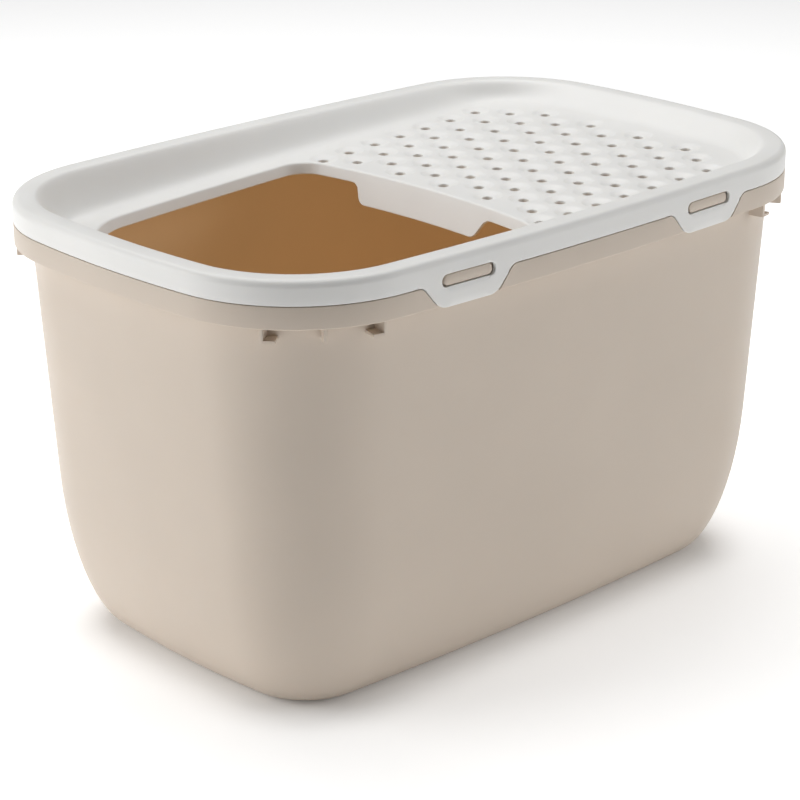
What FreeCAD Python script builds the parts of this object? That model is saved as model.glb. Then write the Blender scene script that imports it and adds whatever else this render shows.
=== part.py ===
import FreeCAD, Part
import math
import os
import Sketcher
from FreeCAD import Placement, Rotation, Vector

# A top-entry cat litter box: a deep tub with a stepped band at its mouth, and a dished lid whose
# rim stands flush on that band. One half of the lid is a dimpled, perforated step that slopes
# gently down to the entry opening in the other half. Four clips, one moulding with the lid, hang
# from its long sides on thin hinges and lie in notches of the band.
# +X runs along the length towards the step, +Y across the width, +Z up; the origin is on the
# floor under the middle of the box. Millimetres.

SIZES = [
    # the outline seen from above: end, side and corner arcs, each tangent to the next
    ("overall_length", 585), ("overall_width", 379.6), ("overall_height", 339),
    ("end_arc", 900), ("side_arc", 3400), ("corner_arc", 110),
    # tub
    ("wall_thick", 2.8), ("wall_step", 13), ("wall_draft", 0.06),
    ("base_round_wide", 39.5), ("base_round_high", 122),
    ("rim_to_band_foot", 33.8), ("rim_to_band_top", 17.7),
    ("band_low", "=overall_height - rim_to_band_foot"),
    ("band_high", "=overall_height - rim_to_band_top"),
    ("band_thick", 2.6), ("ledge_thick", 2.5), ("backing_thick", 2.4), ("backing_wider", 4),
    ("fin_thick", 2.5), ("fin_drop", 10), ("fin_first", 36), ("fin_spread", 23),
    # lid
    ("lid_wall", 2.5), ("seam_gap", 0.4), ("rim_round", 7), ("rim_flat", 14), ("dish_edge", 45),
    ("dish_corner_cut", 24), ("rim_to_floor", 22.6),
    ("floor_mid", "=overall_height - rim_to_floor"), ("floor_slope", 0.0354),
    ("lip_inset", 7.4), ("lip_thick", 2.2), ("lip_gap", 0.3), ("hollow_bevel", 3.2),
    # entry opening with its collar, and the apron below the divider edge
    ("opening_inset", 60), ("divider_place", 15), ("divider_arc", 720), ("divider_corner", 24),
    ("collar_drop", 9), ("apron_drop", 23.4), ("collar_lean", 0.44),
    ("apron_half", 66), ("collar_flat", 25),
    # perforated step
    ("hole_across", 8), ("dimple_across", 23), ("dimple_deep", 1.6), ("dimple_thick", 2.2),
    ("hole_start", 19.4), ("holes_to_end", 68), ("rows_to_side", 66.3), ("row_fan", 0.0108),
    ("hole_pitch", "=(overall_length / 2 - hole_start - holes_to_end) / 7"),
    ("row_pitch", "=(overall_width / 2 - rows_to_side) / 5"),
    ("row_bow", 2.7), ("row_spread", 0.15), ("spread_from", 1.6), ("spread_back", 0.6),
    # clips
    ("clip_place", 125), ("clip_thick", 2.7),
    ("rim_to_clip_foot", 35.6), ("rim_to_clip_top", 9.4),
    ("clip_low", "=overall_height - rim_to_clip_foot"),
    ("clip_high", "=overall_height - rim_to_clip_top"),
    ("clip_half_low", 26.2), ("clip_half_high", 41.2), ("clip_corner", 11), ("clip_side_gap", 0.9),
    ("clip_gap", 0.3), ("clip_bevel", 1.2),
    ("slot_long", 49), ("slot_high", 9.2), ("rim_to_slot", 16.7),
    ("slot_level", "=overall_height - rim_to_slot"),
    ("notch_deep", 4.2), ("catch_gap", 0.3), ("catch_margin", 1.4), ("tongue_rise", 1.4),
    # how far a cutting shape passes the face it opens, and how far two joined shapes overlap
    ("cut_past", 4), ("overlap", 0.5),
]

doc = FreeCAD.newDocument("LitterBox")
sheet = doc.addObject("Spreadsheet::Sheet", "Sizes")
for row, (alias, value) in enumerate(SIZES, start=1):
    sheet.set(f"A{row}", alias)
    sheet.set(f"B{row}", str(value))
    sheet.setAlias(f"B{row}", alias)
doc.recompute()

ROWS_OF_HOLES = 11
HOLES_IN_ROW = 7
DISH_RINGS = 7
DISH_BEND = 0.8  # below 1 the dish wall turns steep sooner
FINS_AT_CORNER = 3
FAR = 400  # mm, longer than any cut has to reach sideways
ACROSS = 50  # mm, longer than any edge that does not run right across the box
PILL_ROUND = 0.92  # share of a slot's half height that its rounded ends take
NEAR = 0.01  # mm, within which two heights are the same


def value(expression):
    """The number that an expression over the sheet's cells has now."""
    result = sheet.evalExpression(expression.replace("Sizes.", ""))
    return float(getattr(result, "Value", result))


def number(x):
    """A plain decimal for use inside an expression."""
    return f"{x:.5f}"


def box_outline(inset):
    """The box's outline drawn in by inset: every arc keeps its centre."""
    return {
        "east": f"Sizes.overall_length / 2 - ({inset})",
        "west": f"Sizes.overall_length / 2 - ({inset})",
        "half": f"Sizes.overall_width / 2 - ({inset})",
        "east_arc": f"Sizes.end_arc - ({inset})",
        "west_arc": f"Sizes.end_arc - ({inset})",
        "side_arc": f"Sizes.side_arc - ({inset})",
        "east_corner": f"Sizes.corner_arc - ({inset})",
        "west_corner": f"Sizes.corner_arc - ({inset})",
    }


def opening_outline(inset):
    """The entry opening's outline: it follows the box on three sides and ends at the divider."""
    outline = box_outline(f"Sizes.opening_inset + ({inset})")
    outline["east"] = f"Sizes.divider_place - ({inset})"
    outline["east_arc"] = f"Sizes.divider_arc - ({inset})"
    outline["east_corner"] = f"Sizes.divider_corner - ({inset})"
    return outline


def corner_centre(end_x, end_radius, side_y, side_radius, corner):
    """Centre of the arc that is tangent inside both the end arc and the side arc."""
    reach_end = end_radius - corner
    reach_side = side_radius - corner
    span = math.hypot(end_x, side_y)
    along = (reach_end**2 - reach_side**2 + span**2) / (2 * span)
    away = math.sqrt(reach_end**2 - along**2)
    unit = Vector(-end_x / span, side_y / span, 0)
    across = Vector(-unit.y, unit.x, 0)
    foot = Vector(end_x, 0, 0) + unit * along
    options = [foot + across * away, foot - across * away]
    return max(options, key=lambda point: point.y)


def arc(centre, radius, start, end):
    return Part.ArcOfCircle(Part.Circle(centre, Vector(0, 0, 1), radius), start, end)


def outline_arcs(size):
    """Eight arcs, counter-clockwise from the +X end, with their shared angles worked out."""
    east = Vector(size["east"] - size["east_arc"], 0, 0)
    west = Vector(size["west_arc"] - size["west"], 0, 0)
    north = Vector(0, size["half"] - size["side_arc"], 0)
    side = size["side_arc"]
    ne = corner_centre(east.x, size["east_arc"], north.y, side, size["east_corner"])
    nw = corner_centre(-west.x, size["west_arc"], north.y, side, size["west_corner"])
    nw = Vector(-nw.x, nw.y, 0)
    ne_low = math.atan2(ne.y, ne.x - east.x)
    ne_high = math.atan2(ne.y - north.y, ne.x)
    nw_high = math.atan2(nw.y - north.y, nw.x)
    nw_low = math.atan2(nw.y, nw.x - west.x)
    down = Vector(1, -1, 1)

    def flip(point):
        return Vector(point.x * down.x, point.y * down.y, 0)

    return [
        arc(east, size["east_arc"], -ne_low, ne_low),
        arc(ne, size["east_corner"], ne_low, ne_high),
        arc(north, side, ne_high, nw_high),
        arc(nw, size["west_corner"], nw_high, nw_low),
        arc(west, size["west_arc"], nw_low, 2 * math.pi - nw_low),
        arc(flip(nw), size["west_corner"], -nw_low, -nw_high),
        arc(flip(north), side, -nw_high, -ne_high),
        arc(flip(ne), size["east_corner"], -ne_high, -ne_low),
    ]


def add_outline(sketch, outline):
    """Draws an outline into a sketch, constrains it fully and binds it to the sheet."""
    size = {key: value(text) for key, text in outline.items()}
    first = sketch.GeometryCount
    sketch.addGeometry(outline_arcs(size), False)
    east, ne, north, nw, west, sw, south, se = range(first, first + 8)
    ring = [east, ne, north, nw, west, sw, south, se]
    rules = []
    for here, after in zip(ring, ring[1:] + ring[:1]):
        rules.append(Sketcher.Constraint("Tangent", here, 2, after, 1))
    rules.append(Sketcher.Constraint("PointOnObject", east, 3, -1))
    rules.append(Sketcher.Constraint("PointOnObject", west, 3, -1))
    rules.append(Sketcher.Constraint("PointOnObject", north, 3, -2))
    rules.append(Sketcher.Constraint("PointOnObject", south, 3, -2))
    sketch.addConstraint(rules)
    o = outline
    driven = [
        (("Radius", east), o["east_arc"]),
        (("Radius", west), o["west_arc"]),
        (("Radius", north), o["side_arc"]),
        (("Radius", south), o["side_arc"]),
        (("Radius", ne), o["east_corner"]),
        (("Radius", se), o["east_corner"]),
        (("Radius", nw), o["west_corner"]),
        (("Radius", sw), o["west_corner"]),
        (("DistanceX", east, 3, -1, 1), f"({o['east_arc']}) - ({o['east']})"),
        (("DistanceX", -1, 1, west, 3), f"({o['west_arc']}) - ({o['west']})"),
        (("DistanceY", north, 3, -1, 1), f"({o['side_arc']}) - ({o['half']})"),
        (("DistanceY", -1, 1, south, 3), f"({o['side_arc']}) - ({o['half']})"),
    ]
    for terms, expression in driven:
        index = sketch.addConstraint(Sketcher.Constraint(*terms, value(expression)))
        sketch.setExpression(f"Constraints[{index}]", expression)


def plane(body, role):
    for feature in body.Origin.OriginFeatures:
        if feature.Role == role:
            return feature
    raise RuntimeError(f"{body.Label} has no {role}")


def level_sketch(body, name, height, slope="0"):
    """A sketch over the ground plane at a height, tilted so that it climbs with slope along +X."""
    sketch = body.newObject("Sketcher::SketchObject", name)
    sketch.AttachmentSupport = (plane(body, "XY_Plane"), "")
    sketch.MapMode = "FlatFace"
    lean = math.degrees(math.atan(value(slope)))
    sketch.AttachmentOffset = Placement(Vector(0, 0, value(height)), Rotation(Vector(0, -1, 0), lean))
    sketch.setExpression("AttachmentOffset.Base.z", height)
    return sketch


def ring_sketch(body, name, outline, height, slope="0"):
    sketch = level_sketch(body, name, height, slope)
    add_outline(sketch, outline)
    return sketch


def loft(body, kind, name, sketches, ruled=False):
    feature = body.newObject(f"PartDesign::{kind}Loft", name)
    feature.Profile = sketches[0]
    feature.Sections = sketches[1:]
    feature.Ruled = ruled
    return feature


def pad(body, name, sketch, length):
    feature = body.newObject("PartDesign::Pad", name)
    feature.Profile = sketch
    feature.setExpression("Length", length)
    return feature


def wall_profile():
    """The tub wall as (inset from the wall's top, height, direction), first its round foot."""
    wide = value("Sizes.base_round_wide")
    high = value("Sizes.base_round_high")
    rise = value("Sizes.band_low")
    draft = value("Sizes.wall_draft")
    foot = []
    for degrees in (0, 20, 35, 48, 60, 70, 80, 90):
        turn = math.radians(degrees)
        height = high * (1 - math.cos(turn))
        inset = wide * (1 - math.sin(turn)) + draft * (rise - height)
        climb = high * math.sin(turn)
        foot.append((inset, height, Vector(-wide * math.cos(turn) - draft * climb, climb, 0)))
    straight = [foot[-1], (0, rise, foot[-1][2])]
    return foot, straight


def ring_plate(name, levels):
    """A plate that follows the outline: one pad per (outer inset, inner inset, low, high)."""
    body = doc.addObject("PartDesign::Body", name)
    for index, (outer, inner, low, high) in enumerate(levels):
        sketch = level_sketch(body, f"{name}_ring_{index}", low)
        add_outline(sketch, box_outline(outer))
        add_outline(sketch, box_outline(inner))
        pad(body, f"{name}_pad_{index}", sketch, f"{high} - ({low})")
    return body


def wall_rings(body, name, profile, thick):
    """Rings up the wall, on its outer face or, pushed in square to it by thick, on its inner one."""
    rings = []
    for index, (inset, height, along) in enumerate(profile):
        push = Vector(along.y, -along.x, 0).normalize() * thick
        outline = box_outline(f"Sizes.wall_step + {number(inset + push.x)}")
        rings.append(ring_sketch(body, f"{name}_{index}", outline, number(height + push.y)))
    return rings


def tub_body():
    body = doc.addObject("PartDesign::Body", "tub_moulding")
    thick = value("Sizes.wall_thick")
    foot, straight = wall_profile()
    loft(body, "Additive", "foot_outer", wall_rings(body, "foot_out", foot, 0))
    loft(body, "Additive", "wall_outer", wall_rings(body, "wall_out", straight, 0), ruled=True)
    ledge = ring_sketch(body, "ledge_outline", box_outline("0"), "Sizes.band_low")
    pad(body, "ledge", ledge, "Sizes.ledge_thick")
    loft(body, "Subtractive", "foot_inner", wall_rings(body, "foot_in", foot, thick))
    inside = wall_rings(body, "wall_in", straight, thick)
    mouth = box_outline(f"Sizes.wall_step + {number(thick)}")
    inside.append(ring_sketch(body, "wall_in_mouth", mouth, "Sizes.band_low + Sizes.ledge_thick + Sizes.cut_past"))
    loft(body, "Subtractive", "wall_inner", inside, ruled=True)
    band = level_sketch(body, "band_outline", "Sizes.band_low")
    add_outline(band, box_outline("0"))
    add_outline(band, box_outline("Sizes.band_thick"))
    pad(body, "band", band, "Sizes.band_high - Sizes.band_low")
    return body


def dish_rings(body, name, under):
    """Sketches from the rim down to the sloping floor; under gives the dish's lower surface."""
    skin = value("Sizes.lid_wall") if under else 0
    reach = value("Sizes.dish_edge - Sizes.rim_flat")
    drop = value("Sizes.overall_height - Sizes.floor_mid")
    sketches = []
    for index in range(DISH_RINGS):
        along = index / (DISH_RINGS - 1)
        bend = math.pi * along**DISH_BEND
        share = (1 - math.cos(bend)) / 2
        steep = 0
        if index:
            steep = drop / reach * math.sin(bend) / 2 * math.pi * DISH_BEND * along**(DISH_BEND - 1)
        tilt = math.atan(steep)
        inset = f"Sizes.rim_flat + {number(reach * along - skin * math.sin(tilt))}"
        height = f"Sizes.overall_height * {number(1 - share)} + Sizes.floor_mid * {number(share)}"
        height += f" - {number(skin * math.cos(tilt))}"
        slope = f"Sizes.floor_slope * {number(share)}"
        outline = box_outline(inset)
        for corner in ("east_corner", "west_corner"):
            outline[corner] += f" - Sizes.dish_corner_cut * {number(share)}"
        sketches.append(ring_sketch(body, f"{name}_{index}", outline, height, slope))
    return sketches


def entry_ring(body, name, depth, grow):
    """The opening's outline at a depth below the dish floor, leaning in as it goes down."""
    outline = opening_outline(f"Sizes.collar_lean * ({depth}) - ({grow})")
    return ring_sketch(body, name, outline, f"Sizes.floor_mid - ({depth})", "Sizes.floor_slope")


def side_sketch(body, name, role, points):
    """A polygon in one of the body's upright planes, each corner bound to the sheet."""
    sketch = body.newObject("Sketcher::SketchObject", name)
    sketch.AttachmentSupport = (plane(body, role), "")
    sketch.MapMode = "FlatFace"
    bind_polygon(sketch, points)
    return sketch


def bind_polygon(sketch, points):
    first = sketch.GeometryCount
    spots = [Vector(value(across), value(up), 0) for across, up in points]
    count = len(spots)
    sketch.addGeometry([Part.LineSegment(spots[i], spots[(i + 1) % count]) for i in range(count)], False)
    for i in range(count):
        sketch.addConstraint(Sketcher.Constraint("Coincident", first + i, 2, first + (i + 1) % count, 1))
    for i, (across, up) in enumerate(points):
        for kind, expression in (("DistanceX", across), ("DistanceY", up)):
            index = sketch.addConstraint(Sketcher.Constraint(kind, -1, 1, first + i, 1, value(expression)))
            sketch.setExpression(f"Constraints[{index}]", expression)


def pocket_both_ways(body, name, sketch):
    feature = body.newObject("PartDesign::Pocket", name)
    feature.Profile = sketch
    feature.Midplane = True
    feature.Length = FAR
    return feature


def lid_body():
    body = doc.addObject("PartDesign::Body", "lid_moulding")
    skirt_low = "Sizes.band_high + Sizes.seam_gap"
    block = ring_sketch(body, "rim_outline", box_outline("0"), skirt_low)
    rim = pad(body, "rim_block", block, f"Sizes.overall_height - ({skirt_low})")
    doc.recompute()
    crown = value("Sizes.overall_height")
    edges = [f"Edge{i}" for i, edge in enumerate(rim.Shape.Edges, start=1)
             if edge.BoundBox.ZMin > crown - NEAR]
    rounded = body.newObject("PartDesign::Fillet", "rim_rounding")
    rounded.Base = (rim, edges)
    rounded.setExpression("Radius", "Sizes.rim_round")
    under = "Sizes.overall_height - Sizes.lid_wall"
    hollow = [
        ring_sketch(body, "hollow_mouth", box_outline("Sizes.lid_wall"), f"{skirt_low} - Sizes.cut_past"),
        ring_sketch(body, "hollow_side", box_outline("Sizes.lid_wall"), "Sizes.overall_height - Sizes.rim_round"),
        ring_sketch(body, "hollow_top", box_outline("Sizes.lid_wall + Sizes.hollow_bevel"), under),
    ]
    loft(body, "Subtractive", "rim_hollow", hollow, ruled=True)
    lip_low = "Sizes.band_low + Sizes.ledge_thick + Sizes.lip_gap"
    lip = level_sketch(body, "lip_outline", lip_low)
    add_outline(lip, box_outline("Sizes.lip_inset"))
    add_outline(lip, box_outline("Sizes.lip_inset + Sizes.lip_thick"))
    pad(body, "seating_lip", lip, f"{under} + Sizes.overlap - ({lip_low})")
    loft(body, "Additive", "dish_under", dish_rings(body, "under_ring", True))
    collar = [
        entry_ring(body, "collar_top", "Sizes.overlap", "Sizes.lid_wall"),
        entry_ring(body, "collar_bottom", "Sizes.apron_drop", "Sizes.lid_wall"),
    ]
    loft(body, "Additive", "collar_outer", collar, ruled=True)
    loft(body, "Subtractive", "dish", dish_rings(body, "dish_ring", False))
    entry = [
        entry_ring(body, "entry_top", "-Sizes.cut_past", "0"),
        entry_ring(body, "entry_bottom", "Sizes.apron_drop + Sizes.cut_past", "0"),
    ]
    loft(body, "Subtractive", "entry", entry, ruled=True)
    trim_collar(body)
    return body


def trim_collar(body):
    """Leaves a short collar all round and the deep apron in the middle of the divider."""
    reach = "(Sizes.overall_length / 2 - Sizes.collar_flat)"
    start = "(Sizes.divider_place - Sizes.collar_flat)"
    low = "(Sizes.floor_mid - Sizes.apron_drop - Sizes.collar_flat)"
    edge = "Sizes.floor_mid - Sizes.collar_drop"
    sides = side_sketch(body, "collar_edge", "XZ_Plane", [
        (f"-{reach}", low), (start, low),
        (start, f"{edge} + Sizes.floor_slope * {start}"),
        (f"-{reach}", f"{edge} - Sizes.floor_slope * {reach}"),
    ])
    pocket_both_ways(body, "collar_trim", sides)
    for hand, name in ((1, "back"), (-1, "front")):
        step = side_sketch(body, f"apron_step_{name}", "YZ_Plane", [
            (f"{hand} * Sizes.apron_half", low), (f"{hand} * Sizes.overall_width / 2", low),
            (f"{hand} * Sizes.overall_width / 2", edge), (f"{hand} * Sizes.apron_half", edge),
        ])
        pocket_both_ways(body, f"apron_trim_{name}", step)


def dimple_profile(sphere, wide, deep, hole):
    """Face of half a spherical dimple with the hole through it, ready to revolve about Z."""
    bottom = Vector(hole, 0, -deep + sphere - math.sqrt(sphere**2 - hole**2))
    brim = Vector(wide, 0, 0)
    turn = (math.asin(hole / sphere) + math.asin(wide / sphere)) / 2
    middle = Vector(sphere * math.sin(turn), 0, sphere - deep - sphere * math.cos(turn))
    lift = Vector(0, 0, value("Sizes.overlap"))
    axis_low = Vector(0, 0, -hole - value("Sizes.dimple_deep + Sizes.lid_wall + Sizes.cut_past"))
    floor = axis_low + Vector(hole, 0, 0)
    edges = [Part.Arc(bottom, middle, brim).toShape()]
    corners = [brim, brim + lift, lift, axis_low, floor, bottom]
    edges += [Part.makeLine(a, b) for a, b in zip(corners, corners[1:])]
    return Part.Face(Part.Wire(edges))


def hole_places():
    """Centres of the step's holes on the dish floor, row by row from the back."""
    pitch = value("Sizes.row_pitch")
    middle = (ROWS_OF_HOLES - 1) / 2
    for row in range(ROWS_OF_HOLES):
        shift = 0.5 if row % 2 else (0 if row in (0, ROWS_OF_HOLES - 1) else 1)
        for column in range(HOLES_IN_ROW):
            across = column + shift
            bow = value("Sizes.row_bow") * ((middle - row) / middle) ** 2
            fan = 1 + value("Sizes.row_fan") * (across - HOLES_IN_ROW / 2)
            spread = value("Sizes.row_spread") * (across - value("Sizes.spread_from")) ** 2
            start = value("Sizes.hole_start - Sizes.spread_back")
            yield Vector(
                start + across * value("Sizes.hole_pitch") + spread - bow,
                (middle - row) * pitch * fan,
                0,
            )


def dimple_sphere():
    wide = value("Sizes.dimple_across") / 2
    deep = value("Sizes.dimple_deep")
    return (wide**2 + deep**2) / (2 * deep)


def spread_over_step(name, shape):
    """One copy of a shape at every hole, on the sloping floor."""
    feature = doc.addObject("Part::Feature", name)
    copies = []
    for place in hole_places():
        copy = shape.copy()
        copy.translate(place)
        copies.append(copy)
    feature.Shape = Part.makeCompound(copies)
    lean = math.degrees(math.atan(value("Sizes.floor_slope")))
    feature.Placement = Placement(Vector(0, 0, value("Sizes.floor_mid")), Rotation(Vector(0, -1, 0), lean))
    feature.setExpression("Placement.Base.z", "Sizes.floor_mid")
    return feature


def dimple_cuts():
    face = dimple_profile(dimple_sphere(), value("Sizes.dimple_across") / 2,
                          value("Sizes.dimple_deep"), value("Sizes.hole_across") / 2)
    return spread_over_step("dimple_cuts", face.revolve(Vector(0, 0, 0), Vector(0, 0, 1), 360))


def dimple_backs():
    """The dimples' bulges under the floor, which keep its thickness even."""
    sphere = dimple_sphere() + value("Sizes.dimple_thick")
    centre = dimple_sphere() - value("Sizes.dimple_deep")
    skin = value("Sizes.lid_wall")
    ball = Part.makeSphere(sphere, Vector(0, 0, centre))
    wide = 2 * sphere
    top = value("Sizes.overlap") - skin
    slab = Part.makeBox(wide, wide, wide, Vector(-sphere, -sphere, top - wide))
    return spread_over_step("dimple_backs", ball.common(slab))


def clip_prism(name, spread, low, high):
    """The clip's front view, pushed across the box's +Y half."""
    seam = "(Sizes.band_high + Sizes.seam_gap)"
    rise = f"({seam} - Sizes.clip_low)"
    run = f"(Sizes.clip_half_high - Sizes.clip_half_low) / {rise}"
    half_low = f"(Sizes.clip_half_low + ({spread}) + {run} * (({low}) - Sizes.clip_low))"
    half_high = f"(Sizes.clip_half_high + ({spread}))"
    body = doc.addObject("PartDesign::Body", name)
    sketch = side_sketch(body, f"{name}_view", "XZ_Plane", [
        (f"Sizes.clip_place - {half_low}", low), (f"Sizes.clip_place + {half_low}", low),
        (f"Sizes.clip_place + {half_high}", seam), (f"Sizes.clip_place + {half_high}", high),
        (f"Sizes.clip_place - {half_high}", high), (f"Sizes.clip_place - {half_high}", seam),
    ])
    across = pad(body, f"{name}_across", sketch, "Sizes.overall_width")
    across.Reversed = True
    return body, across


def round_prism(body, across, height, radius):
    """Rounds the prism's edges that run across the box at one height."""
    doc.recompute()
    edges = []
    for i, edge in enumerate(across.Shape.Edges, start=1):
        box = edge.BoundBox
        if box.YLength > ACROSS and abs(box.ZMin - height) < NEAR and box.ZLength < NEAR:
            edges.append(f"Edge{i}")
    fillet = body.newObject("PartDesign::Fillet", f"{body.Name}_rounding")
    fillet.Base = (across, edges)
    fillet.setExpression("Radius", radius)


def pill_prism(name, margin):
    """A round-ended bar across the box's +Y half at the clip's slot, smaller all round by margin."""
    high = f"(Sizes.slot_high - 2 * ({margin}))"
    long = f"(Sizes.slot_long - 2 * ({margin}))"
    body = doc.addObject("PartDesign::Body", name)
    sketch = side_sketch(body, f"{name}_view", "XZ_Plane", [
        (f"Sizes.clip_place - {long} / 2", f"Sizes.slot_level - {high} / 2"),
        (f"Sizes.clip_place + {long} / 2", f"Sizes.slot_level - {high} / 2"),
        (f"Sizes.clip_place + {long} / 2", f"Sizes.slot_level + {high} / 2"),
        (f"Sizes.clip_place - {long} / 2", f"Sizes.slot_level + {high} / 2"),
    ])
    across = pad(body, f"{name}_across", sketch, "Sizes.overall_width")
    across.Reversed = True
    doc.recompute()
    edges = [f"Edge{i}" for i, edge in enumerate(across.Shape.Edges, start=1) if edge.BoundBox.YLength > ACROSS]
    fillet = body.newObject("PartDesign::Fillet", f"{name}_ends")
    fillet.Base = (across, edges)
    fillet.setExpression("Radius", f"{high} / 2 * {number(PILL_ROUND)}")
    return body


def combine(kind, name, **links):
    feature = doc.addObject(f"Part::{kind}", name)
    for key, link in links.items():
        setattr(feature, key, link)
    return feature


def mirrored(name, source, normal):
    feature = doc.addObject("Part::Mirroring", name)
    feature.Source = source
    feature.Base = Vector(0, 0, 0)
    feature.Normal = normal
    return feature


def four_fold(name, source):
    """A shape of the +X +Y quarter with its mirror images in the other three."""
    left = mirrored(f"{name}_left", source, Vector(1, 0, 0))
    pair = combine("Compound", f"{name}_pair", Links=[source, left])
    front = mirrored(f"{name}_front", pair, Vector(0, 1, 0))
    return combine("Compound", f"{name}_all", Links=[pair, front])


def corner_fins():
    """Three upright webs that brace the ledge at a corner."""
    size = {key: value(text) for key, text in box_outline("0").items()}
    centre = corner_centre(size["east"] - size["east_arc"], size["east_arc"],
                           size["half"] - size["side_arc"], size["side_arc"], size["east_corner"])
    fins = []
    for index in range(FINS_AT_CORNER):
        fin = doc.addObject("Part::Box", f"fin_{index}")
        fin.setExpression("Length", "Sizes.wall_step + Sizes.overlap")
        fin.setExpression("Width", "Sizes.fin_thick")
        fin.setExpression("Height", "Sizes.fin_drop + Sizes.overlap")
        turn = value("Sizes.fin_first") + index * value("Sizes.fin_spread")
        out = Rotation(Vector(0, 0, 1), turn)
        start = out.multVec(Vector(value("Sizes.corner_arc - Sizes.wall_step - Sizes.wall_thick / 2"),
                                   -value("Sizes.fin_thick") / 2, 0))
        base = centre + start + Vector(0, 0, value("Sizes.band_low - Sizes.fin_drop"))
        fin.Placement = Placement(base, out)
        fin.setExpression("Placement.Base.z", "Sizes.band_low - Sizes.fin_drop")
        fins.append(fin)
    return combine("Compound", "fins", Links=fins)


def make_clip():
    web = "Sizes.clip_bevel"
    plate = ring_plate("clip_plate", [
        ("0", "Sizes.clip_thick", "Sizes.clip_low", f"Sizes.clip_high - {web}"),
        ("0", web, f"Sizes.clip_high - {web}", "Sizes.clip_high"),
    ])
    body, across = clip_prism("clip_view", "0", "Sizes.clip_low", "Sizes.clip_high")
    round_prism(body, across, value("Sizes.clip_low"), "Sizes.clip_corner")
    blank = combine("Common", "clip_blank", Base=plate, Tool=body)
    slot = pill_prism("clip_slot", "0")
    return combine("Cut", "lid_clip_back_right", Base=blank, Tool=slot)


def make_tub():
    top = "Sizes.band_high"
    behind = "Sizes.notch_deep + Sizes.backing_thick"
    tongue_top = "(Sizes.slot_level + Sizes.slot_high / 2 + Sizes.tongue_rise)"
    backing = ring_plate("backing_plate", [
        ("Sizes.band_thick - Sizes.overlap", behind, "Sizes.band_low", top),
        ("Sizes.notch_deep", behind, top, tongue_top),
    ])
    view, _ = clip_prism("backing_view", "Sizes.backing_wider", "Sizes.band_low", tongue_top)
    backings = four_fold("backing", combine("Common", "backing", Base=backing, Tool=view))
    low = "(Sizes.clip_low - Sizes.cut_past)"
    high = f"({top} + 2 * Sizes.cut_past)"
    plate = ring_plate("notch_plate", [("-Sizes.cut_past", "Sizes.notch_deep", low, high)])
    view, _ = clip_prism("notch_view", "Sizes.clip_side_gap", low, high)
    notches = four_fold("notch", combine("Common", "notch", Base=plate, Tool=view))
    plate = ring_plate("catch_plate", [
        ("Sizes.clip_thick + Sizes.catch_gap", "Sizes.notch_deep + Sizes.overlap",
         "Sizes.band_low", tongue_top)])
    catches = four_fold("catch", combine(
        "Common", "catch", Base=plate, Tool=pill_prism("catch_view", "Sizes.catch_margin")))
    fins = four_fold("fin", corner_fins())
    solid = combine("MultiFuse", "tub_solid", Shapes=[tub_body(), backings, fins])
    notched = combine("Cut", "tub_notched", Base=solid, Tool=notches)
    return combine("MultiFuse", "tub", Shapes=[notched, catches])


def make_lid():
    top = "Sizes.clip_high + Sizes.clip_gap"
    plate = ring_plate("gap_plate", [("-Sizes.cut_past", "Sizes.clip_thick + Sizes.clip_gap * 5",
                                      "Sizes.clip_low", top)])
    view, _ = clip_prism("gap_view", "Sizes.clip_gap", "Sizes.clip_low", top)
    gaps = four_fold("gap", combine("Common", "gap", Base=plate, Tool=view))
    backed = combine("MultiFuse", "lid_backed", Shapes=[lid_body(), dimple_backs()])
    holed = combine("Cut", "lid_holed", Base=backed, Tool=dimple_cuts())
    return combine("Cut", "lid", Base=holed, Tool=gaps)


def build():
    clip = make_clip()
    parts = [make_tub(), make_lid(), clip]
    parts.append(mirrored("lid_clip_back_left", clip, Vector(1, 0, 0)))
    parts.append(mirrored("lid_clip_front_right", clip, Vector(0, 1, 0)))
    parts.append(mirrored("lid_clip_front_left", parts[3], Vector(0, 1, 0)))
    doc.recompute()
    return parts


parts = build()
for item in doc.Objects:
    if "Invalid" in item.State or "Error" in item.State:
        raise RuntimeError(f"{item.Label} failed: {item.State}")
os.makedirs("parts", exist_ok=True)
for part in parts:
    shape = part.Shape
    if shape.isNull() or not shape.isValid():
        raise RuntimeError(f"{part.Label} has no valid shape")
    box = shape.BoundBox
    print(part.Label, "solids", len(shape.Solids), "cm3", round(shape.Volume / 1000, 1),
          [round(v, 1) for v in (box.XMin, box.XMax, box.YMin, box.YMax, box.ZMin, box.ZMax)])
    shape.exportStep(f"parts/{part.Label}.step")
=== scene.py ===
import math

import bmesh
import bpy
from bpy.props import FloatProperty, FloatVectorProperty, IntProperty, PointerProperty
from bpy.types import Operator, Panel, PropertyGroup
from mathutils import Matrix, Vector
from mathutils.geometry import delaunay_2d_cdt
from mathutils.kdtree import KDTree


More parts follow.
